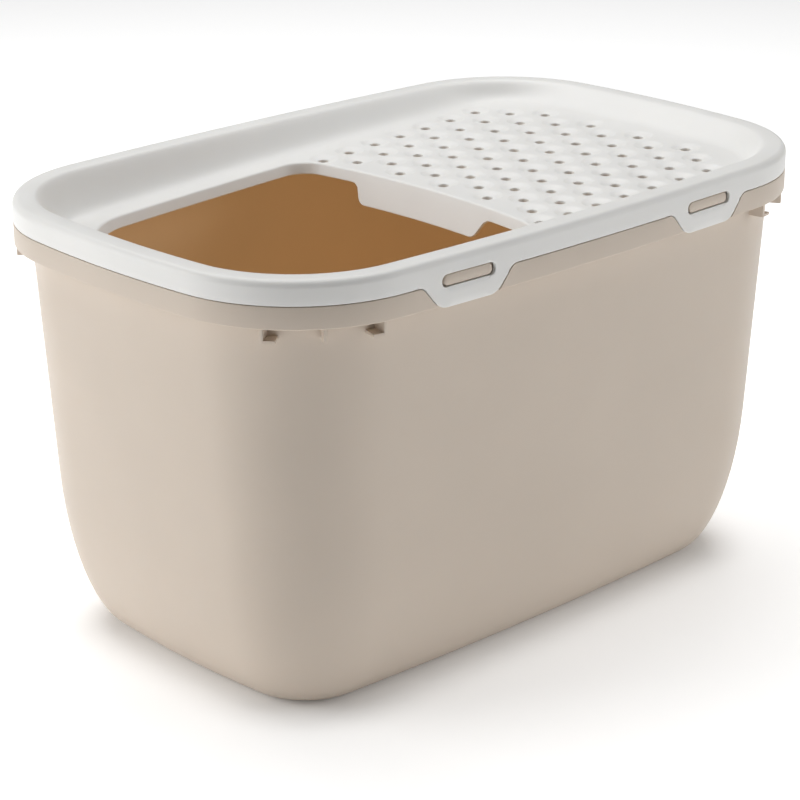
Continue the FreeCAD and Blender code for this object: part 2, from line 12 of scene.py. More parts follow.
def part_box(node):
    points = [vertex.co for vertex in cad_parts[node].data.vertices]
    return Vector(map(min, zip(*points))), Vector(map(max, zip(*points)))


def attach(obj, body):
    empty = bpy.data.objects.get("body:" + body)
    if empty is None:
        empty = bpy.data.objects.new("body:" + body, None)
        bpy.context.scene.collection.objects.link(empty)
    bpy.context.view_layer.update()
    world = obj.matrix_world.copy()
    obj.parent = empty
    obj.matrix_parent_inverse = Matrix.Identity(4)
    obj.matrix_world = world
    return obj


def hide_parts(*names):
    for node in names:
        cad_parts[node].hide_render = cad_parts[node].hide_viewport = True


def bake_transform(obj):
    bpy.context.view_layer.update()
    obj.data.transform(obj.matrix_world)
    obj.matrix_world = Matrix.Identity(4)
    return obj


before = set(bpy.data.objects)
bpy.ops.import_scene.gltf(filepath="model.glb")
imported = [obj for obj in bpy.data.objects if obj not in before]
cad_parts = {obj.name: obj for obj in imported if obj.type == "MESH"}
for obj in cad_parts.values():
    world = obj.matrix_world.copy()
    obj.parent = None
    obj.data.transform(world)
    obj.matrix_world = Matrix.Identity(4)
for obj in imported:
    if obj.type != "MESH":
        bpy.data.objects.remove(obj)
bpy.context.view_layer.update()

bl_info = {
    "name": "Top-entry Litter Box",
    "version": (1, 0, 0),
    "blender": (4, 5, 0),
    "location": "View3D > Sidebar > Litter Box",
    "description": "Makes a tub with a banded mouth and a dished, perforated lid with four snap clips",
    "category": "Object",
}

TUB_LOW, TUB_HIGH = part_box("tub")

# lengths in metres
CRISP_ANGLE = math.radians(32)      # edges that turn more than this stay sharp
MERGE = 2e-6                        # points nearer than this are one
SAME_POINT = 1e-7                   # the same for a flat triangulation
CUT_PAST = 0.003                    # how far a cutting block passes the face it opens

LEDGE_ROOT = 0.0016                 # fillet between wall and ledge, and inside the band
MOUTH_ROUND = 0.0012                # the wall's upper inner edge
BASE_RING = 0.1                     # inset of the ring that splits the base disc
BACKING = 0.0024                    # wall behind a notch
BACKING_WIDER = 0.004               # how far it passes the notch at each side
BACKING_RISE = 0.0014               # how far it stands over the slot
NOTCH_BELOW = 0.004                 # how far a notch runs past the clip's lower edge
NOTCH_BESIDE = 0.012                # and past its sides, above the band
NOTCH_TOP = 0.3290

LIP_INSET = 0.0074                  # seating lip under the rim
LIP_THICK = 0.0022
LIP_GAP = 0.0003
LIP_EDGE = 0.0004
SKIRT_EDGE = 0.0007
SKIRT_INNER_EDGE = 0.0003
DISH_BEND = 0.8                     # below 1 the dish wall turns steep sooner
DISH_STEPS = 22

HOLES_IN_ROW = 7
HOLE_START = 0.0194                 # first column, from the middle of the box
HOLE_PITCH = 0.0293                 # along a row
ROW_PITCH = 0.0247                  # from row to row
ROW_BOW = 0.0027                    # how far the outer rows hang back
ROW_FAN = 0.0108                    # how much the rows part towards the far end
SPREAD = 0.00015                    # how much the columns part towards the far end
SPREAD_FROM = 1.6
SPREAD_BACK = 0.0006
BRIM = 0.88                         # share of a dimple's radius where its soft brim begins
HOLE_EDGE = 0.0006                  # rounding at a hole's mouth
HOLE_POINTS = 28                    # points around each hole
BOSS = 0.0014                       # collar under each hole
BOSS_WIDE = 0.0028
FLOOR_PITCH = 0.0058                # spacing of the floor's plain mesh

OPENING_GROW = 0.004                # where the floor's mesh hands over to the collar's
COLLAR_ROUND = 0.0026               # upper edge of the opening
COLLAR_EDGE = 0.0011                # its lower edge
UNDER_ROUND = 0.0012                # fillet between collar and floor below
APRON_RUN = 0.0035                  # half the length of the apron's slanted ends
APRON_ROUND = 0.0085                # radius of its corners

CLIP_PITCH = 0.003                  # spacing of a clip's plain mesh


# ---------------------------------------------------------------------------------------------
# Sizes and colours that a user would change
# ---------------------------------------------------------------------------------------------

def length(name, default, description):
    return FloatProperty(name=name, default=default, description=description, unit="LENGTH", precision=4)


def colour(name, default, description):
    return FloatVectorProperty(name=name, default=default, description=description,
                               subtype="COLOR", size=3, min=0.0, max=1.0)


class LitterBoxOutline(PropertyGroup):
    """The box seen from above: end, side and corner arcs, each tangent to the next."""
    long: length("Length", TUB_HIGH.x - TUB_LOW.x, "Length over the band")
    wide: length("Width", TUB_HIGH.y - TUB_LOW.y, "Width over the band")
    high: length("Height", 0.339, "Height to the top of the rim")
    end_arc: length("End arc", 0.9, "Radius of the bowed ends")
    side_arc: length("Side arc", 3.4, "Radius of the bowed sides")
    corner_arc: length("Corner arc", 0.11, "Radius of the four corners")


class LitterBoxTub(PropertyGroup):
    """The tub's wall, band and corner webs."""
    wall: length("Wall", 0.0028, "Wall thickness")
    step: length("Step", 0.013, "How far the band stands out from the wall below it")
    draft: FloatProperty(name="Draft", default=0.060,
                         description="How far the wall leans out per unit of height")
    foot_wide: length("Foot width", 0.0395, "How far the rounded foot reaches inward")
    foot_high: length("Foot height", 0.122, "Height at which the rounded foot ends")
    band_low: length("Band bottom", 0.3052, "Height of the band's lower edge")
    band_high: length("Band top", 0.3213, "Height of the band's upper edge")
    band: length("Band", 0.0026, "Thickness of the band")
    ledge: length("Ledge", 0.0025, "Thickness of the ledge under the band")
    edge: length("Edge rounding", 0.0008, "Radius along the band's edges")
    fin: length("Web", 0.0029, "Thickness of the webs under the corners")
    fin_drop: length("Web drop", 0.0102, "How far the webs reach below the ledge")
    fin_first: FloatProperty(name="First web", default=math.radians(34.7), subtype="ANGLE",
                             description="Where the first web stands around a corner")
    fin_spread: FloatProperty(name="Web spacing", default=math.radians(22.8), subtype="ANGLE",
                              description="Angle from one web to the next")
    web_foot: length("Web foot", 0.0085, "How far the outer webs' feet reach towards the middle web")
    notch: length("Notch", 0.0042, "Depth of the notches behind the clips")


class LitterBoxLid(PropertyGroup):
    """The lid's rim, dish, opening and perforated step."""
    wall: length("Wall", 0.0025, "Wall thickness")
    seam: length("Seam", 0.0004, "Gap between the rim's skirt and the band")
    rim_round: length("Rim rounding", 0.0055, "Radius of the rim's outer edge")
    rim_flat: length("Rim flat", 0.016, "Where the dish begins, measured in from the outside")
    dish: length("Dish", 0.045, "Where the dish's floor begins, measured in from the outside")
    corner_cut: length("Dish corners", 0.024, "How much tighter the corners of the dish's floor are")
    floor: length("Floor", 0.3164, "Height of the dish's floor at the middle")
    slope: FloatProperty(name="Slope", default=0.0354,
                         description="Climb of the floor towards the step's end")
    inset: length("Opening inset", 0.060, "From the outside to the entry opening")
    divider: length("Divider", 0.015, "Place of the edge between the opening and the step")
    divider_arc: length("Divider arc", 0.72, "Radius of that edge")
    divider_corner: length("Divider corner", 0.024, "Radius at its two ends")
    collar: length("Collar", 0.009, "Depth of the collar around the opening")
    apron: length("Apron", 0.0234, "Depth of the apron under the divider")
    apron_half: length("Apron half width", 0.067, "Half the width of the apron")
    lean: FloatProperty(name="Lean", default=0.44, description="How far the collar leans in per unit of depth")
    hole: length("Hole", 0.008, "Diameter of the holes")
    dimple: length("Dimple", 0.0235, "Diameter of the dimple around each hole")
    dimple_deep: length("Dimple depth", 0.0022, "Depth of the dimples")
    rows: IntProperty(name="Rows", default=11, description="Rows of holes across the step")


class LitterBoxClip(PropertyGroup):
    """The four clips that hang from the lid's long sides."""
    place: length("Place", 0.125, "From the middle of the box to the middle of a clip")
    thick: length("Thickness", 0.0027, "Thickness of a clip")
    low: length("Bottom", 0.3034, "Height of a clip's lower edge")
    high: length("Top", 0.3301, "Height at which a clip meets the rim")
    half_low: length("Half width below", 0.0262, "Half width at the lower edge")
    half_high: length("Half width above", 0.0412, "Half width at the skirt's edge")
    reach: length("Root half width", 0.051, "Half width of the clip's root in the skirt")
    corner: length("Corner", 0.015, "Radius of the lower corners")
    flare: length("Flare", 0.009, "Radius where a clip runs into the skirt")
    slot_long: length("Slot length", 0.049, "Length of the slot")
    slot_high: length("Slot height", 0.0092, "Height of the slot")
    slot_level: length("Slot level", 0.3223, "Height of the slot's middle")
    slot_round: length("Slot rounding", 0.0042, "Radius of the slot's corners")
    edge: length("Edge rounding", 0.0007, "Radius along a clip's edges")
    side_gap: length("Side gap", 0.0009, "Gap between a clip and its notch")
    pad_gap: length("Pad gap", 0.0008, "Gap above and below the catch in the slot")
    pad_short: length("Pad end gap", 0.0018, "How much further the catch stops short of the slot's ends")


class LitterBoxFinish(PropertyGroup):
    """Colours of the mouldings."""
    lid: colour("Lid", (0.82, 0.815, 0.795), "Off-white plastic of the lid and clips")
    tub: colour("Tub", (0.625, 0.54, 0.455), "Warm greige plastic of the tub")
    # painted shade: the inside is the tub's own plastic made deeper and warmer, standing in for the light
    # bounced inside the tub
    inside: colour("Tub inside", (0.70, 0.52, 0.33), "The tub's inside, deeper and warmer in its own shade")


class LitterBoxStage(PropertyGroup):
    """Floor, lights and camera."""
    turn: FloatProperty(name="Turn", default=math.radians(-43.62), subtype="ANGLE",
                        description="Camera turn about the box")
    rise: FloatProperty(name="Rise", default=math.radians(20.58), subtype="ANGLE",
                        description="Camera height angle")
    away: length("Distance", 2.0089, "From the camera to its aim")
    aim: length("Aim height", 0.1484, "Height of the point the camera looks at")
    lens: FloatProperty(name="Lens", default=115.7, description="Focal length in millimetres")


SHAPES = {
    "litter_outline": LitterBoxOutline,
    "litter_tub": LitterBoxTub,
    "litter_lid": LitterBoxLid,
    "litter_clip": LitterBoxClip,
    "litter_finish": LitterBoxFinish,
    "litter_stage": LitterBoxStage,
}


# ---------------------------------------------------------------------------------------------
# The outline: eight tangent arcs
# ---------------------------------------------------------------------------------------------

END_STEPS = 24
SIDE_STEPS = 40
CORNER_STEPS = 26


class Outline:
    """Eight tangent arcs drawn in by an inset; each ring has the same points in the same order."""

    def __init__(self, east, west, half, east_arc, west_arc, side_arc, east_corner, west_corner,
                 east_steps=None):
        self.sizes = dict(east=east, west=west, half=half, east_arc=east_arc, west_arc=west_arc,
                          side_arc=side_arc, east_corner=east_corner, west_corner=west_corner)
        self.east_steps = east_steps

    @staticmethod
    def corner_centre(end_x, end_radius, side_y, side_radius, corner):
        reach_end = end_radius - corner
        reach_side = side_radius - corner
        span = math.hypot(end_x, side_y)
        along = (reach_end ** 2 - reach_side ** 2 + span ** 2) / (2 * span)
        away = math.sqrt(reach_end ** 2 - along ** 2)
        ux, uy = -end_x / span, side_y / span
        spots = [(end_x + ux * along - uy * s, uy * along + ux * s) for s in (away, -away)]
        return max(spots, key=lambda p: p[1])

    def ring(self, inset=0.0, trim=0.0):
        """Points (x, y, outward x, outward y), counter-clockwise from the -Y end of the +X arc."""
        z = self.sizes
        east_arc, west_arc, side = z["east_arc"] - inset, z["west_arc"] - inset, z["side_arc"] - inset
        east_corner, west_corner = z["east_corner"] - inset - trim, z["west_corner"] - inset - trim
        east_x = z["east"] - z["east_arc"]
        west_x = z["west"] - z["west_arc"]
        north_y = z["half"] - z["side_arc"]
        ne = self.corner_centre(east_x, east_arc, north_y, side, east_corner)
        nw = self.corner_centre(west_x, west_arc, north_y, side, west_corner)
        nw = (-nw[0], nw[1])
        west_x = -west_x
        ne_low = math.atan2(ne[1], ne[0] - east_x)
        ne_high = math.atan2(ne[1] - north_y, ne[0])
        nw_high = math.atan2(nw[1] - north_y, nw[0])
        nw_low = math.atan2(nw[1], nw[0] - west_x)
        turn = 2 * math.pi
        runs = [
            ((east_x, 0), east_arc, -ne_low, ne_low, END_STEPS),
            (ne, east_corner, ne_low, ne_high, CORNER_STEPS),
            ((0, north_y), side, ne_high, nw_high, SIDE_STEPS),
            (nw, west_corner, nw_high, nw_low, CORNER_STEPS),
            ((west_x, 0), west_arc, nw_low, turn - nw_low, END_STEPS),
            ((nw[0], -nw[1]), west_corner, turn - nw_low, turn - nw_high, CORNER_STEPS),
            ((0, -north_y), side, turn - nw_high, turn - ne_high, SIDE_STEPS),
            ((ne[0], -ne[1]), east_corner, turn - ne_high, turn - ne_low, CORNER_STEPS),
        ]
        points = []
        for index, (centre, radius, start, end, steps) in enumerate(runs):
            shares = [i / steps for i in range(steps)]
            if index == 0 and self.east_steps:
                shares = self.east_steps
            for share in shares:
                a = start + (end - start) * share
                c, s = math.cos(a), math.sin(a)
                points.append((centre[0] + radius * c, centre[1] + radius * s, c, s))
        return points


def box_outline():
    o = bpy.context.scene.litter_outline
    return Outline(o.long / 2, o.long / 2, o.wide / 2, o.end_arc, o.end_arc, o.side_arc,
                   o.corner_arc, o.corner_arc)


def opening_outline():
    """The entry opening follows the box on three sides and ends at the divider."""
    o = bpy.context.scene.litter_outline
    lid = bpy.context.scene.litter_lid
    inset = lid.inset
    # the apron's corners need more points than the rest of the divider
    shares = [i / 60 for i in range(60)]
    for edge in (0.27, 0.73):
        shares += [edge + (k - 16) * 0.0046 for k in range(33)]
    shares = sorted(set(round(s, 4) for s in shares))
    return Outline(lid.divider, o.long / 2 - inset, o.wide / 2 - inset, lid.divider_arc,
                   o.end_arc - inset, o.side_arc - inset, lid.divider_corner, o.corner_arc - inset, shares)


def side_point(x, inset, side):
    """A point of the long side's arc at x; side is -1 in front and 1 at the back."""
    o = bpy.context.scene.litter_outline
    radius = o.side_arc - inset
    return side * (o.wide / 2 - o.side_arc + math.sqrt(radius ** 2 - x ** 2))


# ---------------------------------------------------------------------------------------------
# Mesh helpers
# ---------------------------------------------------------------------------------------------

def new_piece(name, bm):
    """Turns a bmesh into an object with outward normals, smooth except at real edges."""
    bmesh.ops.recalc_face_normals(bm, faces=bm.faces[:])
    mesh = bpy.data.meshes.new(name)
    bm.to_mesh(mesh)
    bm.free()
    piece = bpy.data.objects.new(name, mesh)
    bpy.context.scene.collection.objects.link(piece)
    mesh.shade_smooth()
    mesh.set_sharp_from_angle(angle=CRISP_ANGLE)
    return piece


def bridge(bm, lower, upper):
    """Quads between two closed rings of as many vertices."""
    count = len(lower)
    for i in range(count):
        j = (i + 1) % count
        bm.faces.new((lower[i], lower[j], upper[j], upper[i]))


def ring_verts(bm, points, heights):
    if not isinstance(heights, (list, tuple)):
        heights = [heights] * len(points)
    return [bm.verts.new((p[0], p[1], h)) for p, h in zip(points, heights)]


def sweep(bm, outline, profile, closed=False):
    """Carries a profile of (inset, height) around the outline and returns its rings."""
    rings = [ring_verts(bm, outline.ring(inset), height) for inset, height in profile]
    for a, b in zip(rings, rings[1:]):
        bridge(bm, a, b)
    if closed:
        bridge(bm, rings[-1], rings[0])
    return rings


def quarter(centre, radius, start, end, steps=5):
    """Points of an arc in the profile's (inset, height) plane, angles in degrees."""
    points = []
    for i in range(steps + 1):
        a = math.radians(start + (end - start) * i / steps)
        points.append((centre[0] + radius * math.cos(a), centre[1] + radius * math.sin(a)))
    return points


def prism(points, low_inset, high_inset, side, name):
    """A block with a flat outline of (x, z) points between two insets of a long side."""
    bm = bmesh.new()
    near = [bm.verts.new((x, side_point(x, low_inset, side), z)) for x, z in points]
    far = [bm.verts.new((x, side_point(x, high_inset, side), z)) for x, z in points]
    bm.faces.new(near)
    bm.faces.new(list(reversed(far)))
    bridge(bm, near, far)
    bmesh.ops.triangulate(bm, faces=[f for f in bm.faces if len(f.verts) > 4])
    return new_piece(name, bm)


def cut_or_join(piece, tools, operation):
    """Applies a boolean with each tool and removes the tools."""
    for tool in tools:
        change = piece.modifiers.new("shape", "BOOLEAN")
        change.object = tool
        change.operation = operation
        change.solver = "MANIFOLD"
    graph = bpy.context.evaluated_depsgraph_get()
    made = bpy.data.meshes.new_from_object(piece.evaluated_get(graph))
    piece.modifiers.clear()
    old = piece.data
    piece.data = made
    bpy.data.meshes.remove(old)
    for tool in tools:
        bpy.data.objects.remove(tool)
    return piece


def settle(piece):
    """Cleans a mesh after cutting: merges doubled points and marks the real edges sharp."""
    bm = bmesh.new()
    bm.from_mesh(piece.data)
    bmesh.ops.remove_doubles(bm, verts=bm.verts[:], dist=MERGE)
    bmesh.ops.dissolve_degenerate(bm, edges=bm.edges[:], dist=MERGE)
    bm.to_mesh(piece.data)
    bm.free()
    piece.data.shade_smooth()
    piece.data.set_sharp_from_angle(angle=CRISP_ANGLE)


# ---------------------------------------------------------------------------------------------
# Materials
# ---------------------------------------------------------------------------------------------

def moulded_plastic(name, base, rough, grain, warm, depth):
    """Satin moulded plastic: a faint cloudy tone, uneven polish and a fine spark-eroded grain."""
    material = bpy.data.materials.new(name)
    material.use_nodes = True
    nodes = material.node_tree.nodes
    links = material.node_tree.links
    shader = nodes["Principled BSDF"]
    shader.inputs["IOR"].default_value = 1.49
    shader.inputs["Subsurface Weight"].default_value = depth
    shader.inputs["Subsurface Radius"].default_value = warm
    shader.inputs["Subsurface Scale"].default_value = 0.004
    place = nodes.new("ShaderNodeTexCoord")

    cloud = nodes.new("ShaderNodeTexNoise")
    cloud.inputs["Scale"].default_value = 9.0
    cloud.inputs["Detail"].default_value = 3.0
    links.new(place.outputs["Object"], cloud.inputs["Vector"])
    tone = nodes.new("ShaderNodeValToRGB")
    tone.color_ramp.elements[0].position = 0.3
    tone.color_ramp.elements[1].position = 0.7
    tone.color_ramp.elements[0].color = [c * 0.975 for c in base] + [1]
    tone.color_ramp.elements[1].color = [min(c * 1.02, 1) for c in base] + [1]
    links.new(cloud.outputs["Fac"], tone.inputs["Fac"])
    links.new(tone.outputs["Color"], shader.inputs["Base Color"])

    polish = nodes.new("ShaderNodeTexNoise")
    polish.inputs["Scale"].default_value = 35.0
    polish.inputs["Detail"].default_value = 4.0
    links.new(place.outputs["Object"], polish.inputs["Vector"])
    spread = nodes.new("ShaderNodeMapRange")
    spread.inputs["From Min"].default_value = 0.3
    spread.inputs["From Max"].default_value = 0.7
    spread.inputs["To Min"].default_value = rough - 0.03
    spread.inputs["To Max"].default_value = rough + 0.05
    links.new(polish.outputs["Fac"], spread.inputs["Value"])
    links.new(spread.outputs["Result"], shader.inputs["Roughness"])

    fine = nodes.new("ShaderNodeTexNoise")
    fine.inputs["Scale"].default_value = 1400.0
    fine.inputs["Detail"].default_value = 2.0
    links.new(place.outputs["Object"], fine.inputs["Vector"])
    bump = nodes.new("ShaderNodeBump")
    bump.inputs["Strength"].default_value = grain
    bump.inputs["Distance"].default_value = 0.00006
    links.new(fine.outputs["Fac"], bump.inputs["Height"])
    links.new(bump.outputs["Normal"], shader.inputs["Normal"])
    return material


def finish_material(kind):
    """The named finish, made once."""
    made = bpy.data.materials.get(kind)
    if made:
        return made
    look = bpy.context.scene.litter_finish
    if kind == "lid_offwhite":
        return moulded_plastic(kind, look.lid, 0.42, 0.25, (1.0, 0.9, 0.75), 0.12)
    if kind == "tub_greige":
        return moulded_plastic(kind, look.tub, 0.44, 0.3, (1.0, 0.7, 0.5), 0.08)
    # painted shade: a deeper, warmer copy of the tub's plastic for the inside, standing in for bounced light
    inside = moulded_plastic(kind, look.inside, 0.5, 0.3, (1.0, 0.6, 0.4), 0.0)
    # painted glow: the emission stands in for daylight through the thin walls and light bounced inside the tub
    shader = inside.node_tree.nodes["Principled BSDF"]
    shader.inputs["Emission Color"].default_value = (0.60, 0.37, 0.16, 1)
    shader.inputs["Emission Strength"].default_value = 0.15
    return inside


# ---------------------------------------------------------------------------------------------
# The clips' flat outline
# ---------------------------------------------------------------------------------------------

def rounded(corners):
    """Points of a path whose corners (x, z, radius) are rounded."""
    points = []
    for index, (x, z, radius) in enumerate(corners):
        here = Vector((x, z))
        if radius <= 0:
            points.append((x, z))
            continue
        before = (Vector(corners[index - 1][:2]) - here).normalized()
        after = (Vector(corners[index + 1][:2]) - here).normalized()
        half = before.angle(after) / 2
        reach = radius / math.tan(half)
        centre = here + (before + after).normalized() * (radius / math.sin(half))
        start = here + before * reach - centre
        end = here + after * reach - centre
        turn = start.angle_signed(end)
        steps = max(4, round(abs(turn) / math.radians(9)))
        base = math.atan2(start.y, start.x)
        for k in range(steps + 1):
            a = base - turn * k / steps
            points.append((centre.x + radius * math.cos(a), centre.y + radius * math.sin(a)))
    return points


def clip_free_edge():
    """The edge that hangs free, from the root's left end round the bottom to its right end."""
    clip = bpy.context.scene.litter_clip
    tub = bpy.context.scene.litter_tub
    lid = bpy.context.scene.litter_lid
    seam = tub.band_high + lid.seam
    return rounded([
        (-clip.reach, seam, 0), (-clip.half_high, seam, clip.flare), (-clip.half_low, clip.low, clip.corner),
        (clip.half_low, clip.low, clip.corner), (clip.half_high, seam, clip.flare), (clip.reach, seam, 0),
    ])


def slot_loop(shrink=0.0):
    """The slot's outline, clockwise, smaller all round by shrink."""
    clip = bpy.context.scene.litter_clip
    across, up, radius = clip.slot_long / 2 - shrink, clip.slot_high / 2 - shrink, clip.slot_round - shrink
    points = []
    for sx, sz, start in ((1, 1, 90), (1, -1, 0), (-1, -1, -90), (-1, 1, -180)):
        for k in range(9):
            a = math.radians(start - 90 * k / 8)
            points.append((sx * (across - radius) + radius * math.cos(a),
                           clip.slot_level + sz * (up - radius) + radius * math.sin(a)))
    return points


def moved_in(points, distance, closed):
    """A path moved to its left side by a distance."""
    count = len(points)
    out = []
    for i, (x, z) in enumerate(points):
        before = points[i - 1] if closed or i > 0 else points[i]
        after = points[(i + 1) % count] if closed or i < count - 1 else points[i]
        dx, dz = after[0] - before[0], after[1] - before[1]
        size = math.hypot(dx, dz)
        out.append((x - dz / size * distance, z + dx / size * distance))
    return out


# ---------------------------------------------------------------------------------------------
# Operators
# ---------------------------------------------------------------------------------------------

class LITTERBOX_OT_tub(Operator):
    """Make the tub with its foot, band, corner webs, clip notches and catches"""
    bl_idname = "litterbox.tub"
    bl_label = "Tub"

    def execute(self, context):
        outline = box_outline()
        tub = context.scene.litter_tub
        bm = bmesh.new()
        outside, inside = self.wall()
        rings = sweep(bm, outline, outside + self.mouth() + inside)
        self.close(bm, outline, rings[0], 0.0)
        self.close(bm, outline, rings[-1], tub.wall)
        piece = new_piece("tub_shell", bm)
        cut_or_join(piece, self.backings(), "UNION")
        cut_or_join(piece, self.notches(), "DIFFERENCE")
        cut_or_join(piece, self.webs() + self.catches(), "UNION")
        settle(piece)
        self.paint(piece)
        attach(piece, "tub")
        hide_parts("tub")
        return {"FINISHED"}

    @staticmethod
    def wall():
        """Outer face going up from the base, and inner face going down to the floor."""
        tub = bpy.context.scene.litter_tub
        rise = tub.band_low
        path = []
        for i in range(15):
            t = math.radians(90 * i / 14)
            height = tub.foot_high * (1 - math.cos(t))
            inset = tub.step + tub.foot_wide * (1 - math.sin(t)) + tub.draft * (rise - height)
            path.append((inset, height, -tub.foot_wide * math.cos(t) - tub.draft * tub.foot_high * math.sin(t),
                         tub.foot_high * math.sin(t)))
        for share in (0.3, 0.6, 0.85):
            height = tub.foot_high + (rise - tub.foot_high) * share
            path.append((tub.step + tub.draft * (rise - height), height, -tub.draft, 1.0))
        outside = [(inset, height) for inset, height, _, _ in path]
        inside = []
        for inset, height, dx, dz in reversed(path):
            size = math.hypot(dx, dz)
            inside.append((inset + dz / size * tub.wall, height - dx / size * tub.wall))
        return outside, inside

    @staticmethod
    def mouth():
        """Ledge and band between the outer and the inner face."""
        tub = bpy.context.scene.litter_tub
        low, high, e = tub.band_low, tub.band_high, tub.edge
        root, back, small = LEDGE_ROOT, tub.band, e * 0.7
        top = low + tub.ledge
        path = quarter((tub.step - root + 0.0001, low - root), root, 0, 90, 4)
        path += quarter((e, low + e), e, 270, 180, 5)
        path += quarter((small, high - small), small, 180, 90, 4)
        path += quarter((back - small, high - small), small, 90, 0, 4)
        path += quarter((back + root, top + root), root, 180, 270, 3)
        path += quarter((tub.step + tub.wall - MOUTH_ROUND, top - MOUTH_ROUND), MOUTH_ROUND, 90, 0, 4)
        return path

    @staticmethod
    def close(bm, outline, ring, height):
        """Closes the base with a flat disc in two steps."""
        inner = ring_verts(bm, outline.ring(BASE_RING), height)
        bridge(bm, ring, inner)
        bm.faces.new(inner)

    @staticmethod
    def four(make):
        """One block from make(side, centre x) for each clip."""
        clip = bpy.context.scene.litter_clip
        return [make(side, hand * clip.place) for side in (-1, 1) for hand in (-1, 1)]

    def backings(self):
        """The raised wall behind each notch."""
        tub, clip = bpy.context.scene.litter_tub, bpy.context.scene.litter_clip
        top = clip.slot_level + clip.slot_high / 2 + BACKING_RISE
        low = tub.band_low + 0.0005
        foot = clip.half_low + BACKING_WIDER * 1.5
        wide = clip.half_high + BACKING_WIDER
        points = rounded([
            (-foot, low, 0), (foot, low, 0), (wide, tub.band_high, 0), (wide, top, 0.003),
            (-wide, top, 0.003), (-wide, tub.band_high, 0),
        ])

        def make(side, centre):
            spots = [(x + centre, z) for x, z in points]
            return prism(spots, tub.band - 0.0006, tub.notch + BACKING, side, "backing")
        return self.four(make)

    def notches(self):
        tub, clip = bpy.context.scene.litter_tub, bpy.context.scene.litter_clip
        gap = clip.side_gap
        run = (clip.half_high - clip.half_low) / (tub.band_high - clip.low)
        low = clip.low - NOTCH_BELOW
        foot = clip.half_low + gap - run * NOTCH_BELOW
        wide = clip.half_high + gap
        far = wide + NOTCH_BESIDE
        brim = tub.band_high + 0.00002
        turn = clip.flare - 0.001
        # the last point only gives the one before it a neighbour, and is dropped again
        points = rounded([
            (-foot, low, 0), (foot, low, 0), (wide, brim, turn), (far, brim, 0), (far, NOTCH_TOP, 0),
            (-far, NOTCH_TOP, 0), (-far, brim, 0), (-wide, brim, turn), (-foot, low, 0),
        ])[:-1]

        def make(side, centre):
            spots = [(x + centre, z) for x, z in points]
            return prism(spots, -CUT_PAST, tub.notch, side, "notch")
        return self.four(make)

    def catches(self):
        """Pill-shaped pads with rounded faces that stand in the clips' slots."""
        tub, clip = bpy.context.scene.litter_tub, bpy.context.scene.litter_clip
        shorter = 1 - clip.pad_short / clip.slot_long * 2

        def make(side, centre):
            bm = bmesh.new()
            rings = []
            for inset, shrink in ((0.0009, 0.0006), (0.0011, 0.00025), (0.0015, 0.0), (tub.notch + 0.001, 0.0)):
                spots = [(x * shorter + centre, z) for x, z in slot_loop(clip.pad_gap + shrink)]
                rings.append([bm.verts.new((x, side_point(x, inset, side), z)) for x, z in spots])
            for a, b in zip(rings, rings[1:]):
                bridge(bm, a, b)
            bm.faces.new(rings[0])
            bm.faces.new(list(reversed(rings[-1])))
            bmesh.ops.triangulate(bm, faces=[f for f in bm.faces if len(f.verts) > 4])
            return new_piece("catch", bm)
        return self.four(make)

    def webs(self):
        """Three upright webs under the ledge at each corner."""
        o, tub = bpy.context.scene.litter_outline, bpy.context.scene.litter_tub
        end_x = o.long / 2 - o.end_arc
        cx, cy = Outline.corner_centre(end_x, o.end_arc, o.wide / 2 - o.side_arc, o.side_arc, o.corner_arc)
        webs = []
        for sx in (-1, 1):
            for sy in (-1, 1):
                for index in range(3):
                    a = tub.fin_first + tub.fin_spread * index
                    centre = (sx * cx, sy * cy)
                    webs.append(self.web(centre, (sx * math.cos(a), sy * math.sin(a))))
                    if index != 1:
                        lean = (1 - index) * tub.web_foot / (o.corner_arc - tub.step)
                        turns = [a + lean * k / 4 for k in range(5)]
                        rays = [(sx * math.cos(turn), sy * math.sin(turn)) for turn in turns]
                        webs.append(self.web_foot(centre, rays))
        return webs

    @staticmethod
    def web_foot(centre, rays):
        """The short shelf on which an outer web turns towards the middle one."""
        o, tub = bpy.context.scene.litter_outline, bpy.context.scene.litter_tub
        near, far = o.corner_arc - tub.step - 0.002, o.corner_arc - 0.0017
        low = tub.band_low - tub.fin_drop + 0.0001
        bm = bmesh.new()
        rings = []
        for x, y in rays:
            rings.append([bm.verts.new((centre[0] + x * reach, centre[1] + y * reach, low + up))
                          for reach, up in ((near, 0), (far, 0), (far, 0.0019), (near, 0.0019))])
        for a, b in zip(rings, rings[1:]):
            bridge(bm, a, b)
        bm.faces.new(rings[0])
        bm.faces.new(list(reversed(rings[-1])))
        return new_piece("web_foot", bm)

    @staticmethod
    def web(centre, out):
        """A plate with rounded outer edges, narrowing a little towards its lower end."""
        o, tub = bpy.context.scene.litter_outline, bpy.context.scene.litter_tub
        start, end = o.corner_arc - tub.step - 0.002, o.corner_arc - 0.0015
        half, r = tub.fin / 2, 0.0006
        plan = [(start, -half), (end - r, -half), (end - 0.3 * r, -half + 0.3 * r), (end, -half + r),
                (end, half - r), (end - 0.3 * r, half - 0.3 * r), (end - r, half), (start, half)]
        bm = bmesh.new()
        rings = []
        foot = tub.band_low - tub.fin_drop
        levels = ((foot, 0.0006), (foot + 0.0002, 0.0002), (foot + 0.0007, 0.0),
                  (tub.band_low + 0.0008, 0.0))
        for height, shrink in levels:
            ring = []
            for along, across in plan:
                far = along - (shrink if along > start else 0)
                wide = across * (1 - shrink / half * 0.8)
                ring.append(bm.verts.new((centre[0] + out[0] * far - out[1] * wide,
                                          centre[1] + out[1] * far + out[0] * wide, height)))
            rings.append(ring)
        for a, b in zip(rings, rings[1:]):
            bridge(bm, a, b)
        bm.faces.new(rings[0])
        bm.faces.new(rings[-1])
        return new_piece("web", bm)

